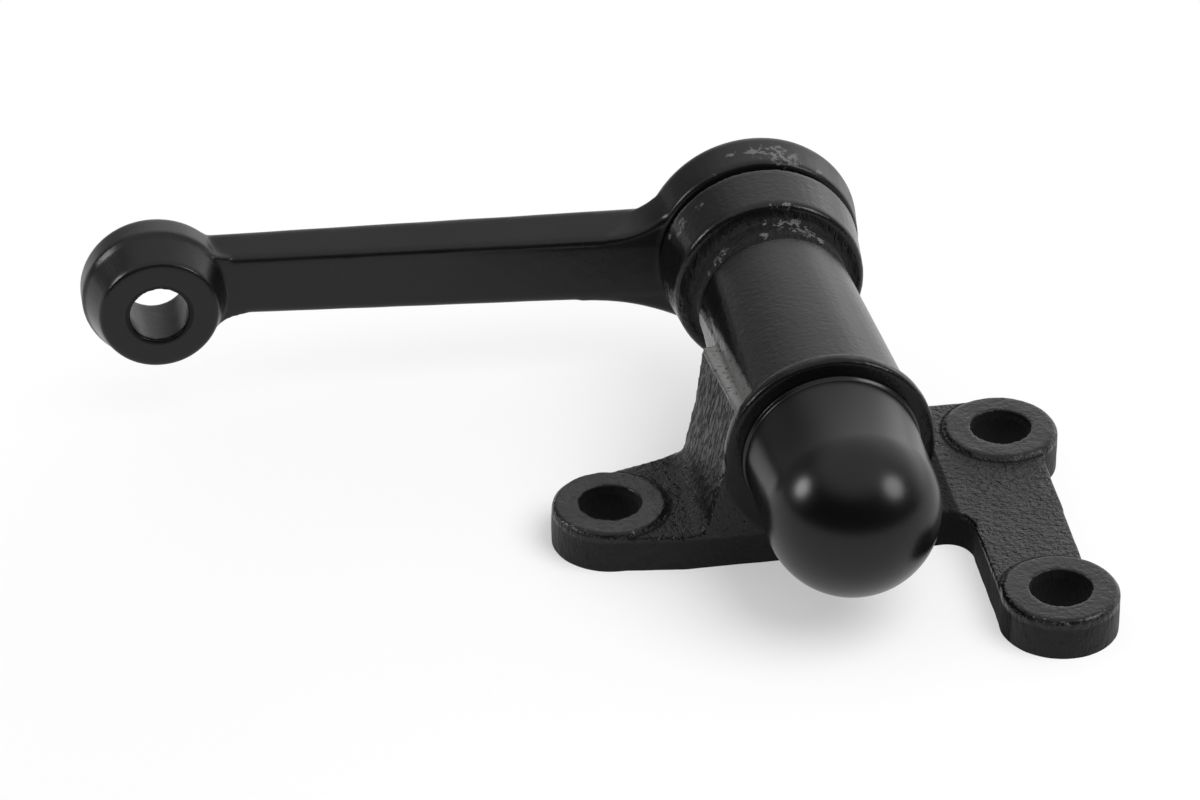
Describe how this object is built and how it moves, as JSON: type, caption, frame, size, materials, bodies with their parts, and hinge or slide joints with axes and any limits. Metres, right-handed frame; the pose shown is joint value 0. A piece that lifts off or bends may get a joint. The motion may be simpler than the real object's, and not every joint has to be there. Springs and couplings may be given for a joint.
{
  "type": "steering idler arm",
  "caption": "Steering idler arm: cast bolt-on bracket with a pivot barrel and domed dust cap, carrying a forged arm whose tapered eye takes a ball stud.",
  "frame": {"origin": "on the bracket's flat mounting face, straight below the pivot axis and in line with the single ear's bolt hole", "axes": "+Y along the pivot axis from the dust cap to the arm; +Z away from the mounting face; at rest the arm points along -X"},
  "size_m": [0.1981, 0.1339, 0.0486],
  "materials": {
    "bracket_paint": "black satin paint over a rough casting",
    "arm_paint": "black satin paint over a forging",
    "cap_paint": "smooth black satin paint over drawn sheet",
    "shaft_steel": "ground steel",
    "bush_bronze": "plain bearing bronze",
    "seal_rubber": "matt black rubber",
    "hardware_steel": "plain turned steel"
  },
  "bodies": {
    "bracket": {"bracket": "bracket_paint", "front_bush": "bush_bronze", "rear_bush": "bush_bronze", "dust_seal": "seal_rubber", "end_cap": "cap_paint"},
    "arm": {"idler_arm": "arm_paint", "pivot_shaft": "shaft_steel", "thrust_washer": "hardware_steel", "castle_nut": "hardware_steel", "cotter_pin": "hardware_steel"}
  },
  "joints": [
    {"name": "arm_pivot", "type": "hinge", "parent": "bracket", "child": "arm", "pos_m": [0, 0, 0.0254], "axis": [0, 1, 0], "range_deg": [-40, 40]}
  ]
}
